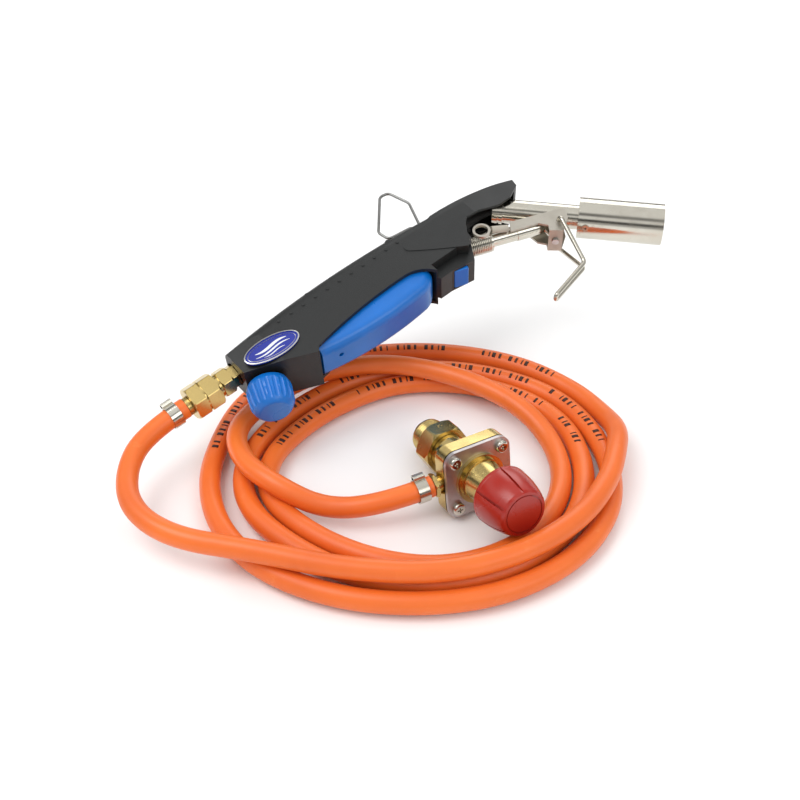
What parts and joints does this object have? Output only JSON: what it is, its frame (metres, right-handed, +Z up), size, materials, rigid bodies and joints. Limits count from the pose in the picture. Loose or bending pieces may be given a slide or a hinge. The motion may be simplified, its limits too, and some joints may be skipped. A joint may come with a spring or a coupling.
{
  "type": "propane torch",
  "caption": "Hand-held propane torch with trigger lever, ignition button, flame cup and folding wire stand, on a coiled gas hose with its cylinder regulator.",
  "frame": {"origin": "middle of the torch's own box, without the hose and the regulator", "axes": "+X to the burner's side along the torch's longest extent, +Z up from the surface that the hose lies on, +Y away from the side that shows the badge"},
  "size_m": [0.36, 0.3191, 0.115],
  "materials": {
    "handle_black": "fine moulded grain, satin",
    "lever_blue": "smooth moulded",
    "badge": "glossy oval plate with plain rings",
    "brass": "turned",
    "nickel": "nickel plated, slightly warm",
    "steel": "bare",
    "hose_orange": "smooth extruded, slight sheen",
    "red_knob": "moulded",
    "black_rubber": "moulded",
    "ceramic": "glazed",
    "lead_black": "insulated"
  },
  "bodies": {
    "torch": {"handle_shell_right": "handle_black", "handle_shell_left": "handle_black", "front_hood": "handle_black", "oval_badge": "badge", "shell_screws": "steel", "hanging_hook": "nickel", "inlet_adapter": "brass", "torch_hose_tail": "brass", "hose_clamp_torch": "nickel", "gas_valve_body": "brass", "valve_gland_nut": "brass", "gas_pipe_rear": "brass", "gas_pipe_front": "brass", "trigger_valve": "brass", "plunger_ring": "black_rubber", "lever_pivot_pin": "steel", "lever_spring": "steel", "piezo_unit": "lead_black", "ignition_lead": "lead_black", "electrode_sleeve": "ceramic", "spark_electrode": "steel", "neck_tube": "brass", "gas_jet": "brass", "burner_tube": "nickel", "air_ring": "nickel", "burner_cup": "nickel", "flame_holder": "brass", "burner_rivet": "nickel", "stand_bracket": "nickel", "bracket_screw": "steel", "regulator_body": "brass", "regulator_valve": "brass", "diaphragm": "black_rubber", "diaphragm_plate": "steel", "cover_plate": "nickel", "cover_screws": "nickel", "bonnet": "brass", "pressure_spring": "steel", "outlet_tail": "brass", "hose_clamp_regulator": "nickel", "gas_hose": "hose_orange"},
    "gas_knob": {"gas_knob": "lever_blue", "valve_spindle": "brass"},
    "lever": {"trigger_lever": "lever_blue"},
    "plunger": {"valve_plunger": "brass"},
    "button": {"ignition_button": "lever_blue", "piezo_plunger": "steel"},
    "union_nut": {"union_nut": "brass"},
    "stand": {"wire_stand": "nickel"},
    "pol_nut": {"pol_nut": "brass"},
    "red_knob": {"red_knob": "red_knob", "adjusting_spindle": "brass"}
  },
  "joints": [
    {"name": "trigger", "type": "hinge", "parent": "torch", "child": "lever", "pos_m": [-0.0728, -0.04346, -0.01566], "axis": [-0.0376, -0.298, 0.9538], "range_deg": [0, 5], "stiffness_Nm_per_rad": 1.5, "springref_deg": -11.46},
    {"name": "valve_plunger_slide", "type": "slide", "parent": "torch", "child": "plunger", "axis": [-0.6514, 0.7312, 0.2027], "range_m": [0, 0.0047]},
    {"name": "ignition", "type": "slide", "parent": "torch", "child": "button", "axis": [-0.3529, 0.897, 0.2663], "range_m": [0, 0.0035], "stiffness_N_per_m": 1200, "springref_m": -0.003},
    {"name": "gas_valve", "type": "hinge", "parent": "torch", "child": "gas_knob", "pos_m": [-0.1091, -0.06568, -0.02403], "axis": [0.2868, -0.9176, -0.2753], "range_deg": [0, 330]},
    {"name": "union_nut_spin", "type": "hinge", "parent": "torch", "child": "union_nut", "pos_m": [-0.15058, -0.07623, -0.02896], "axis": [0.7578, 0.6137, 0.2215], "continuous": true},
    {"name": "stand_fold", "type": "hinge", "parent": "torch", "child": "stand", "pos_m": [0.08829, 0.05175, 0.02043], "axis": [0.0376, 0.298, -0.9538], "range_deg": [-35, 55]},
    {"name": "pol_nut_spin", "type": "hinge", "parent": "torch", "child": "pol_nut", "pos_m": [0.00157, -0.08927, -0.05594], "axis": [0.4849, -0.8571, 0.1736], "continuous": true},
    {"name": "pressure_adjust", "type": "hinge", "parent": "torch", "child": "red_knob", "pos_m": [0.04037, -0.15784, -0.04205], "axis": [0.4849, -0.8571, 0.1736], "range_deg": [0, 340]}
  ],
  "couplings": [
    {"joint": "valve_plunger_slide", "follows": "trigger", "m_per_rad": 0.052}
  ]
}
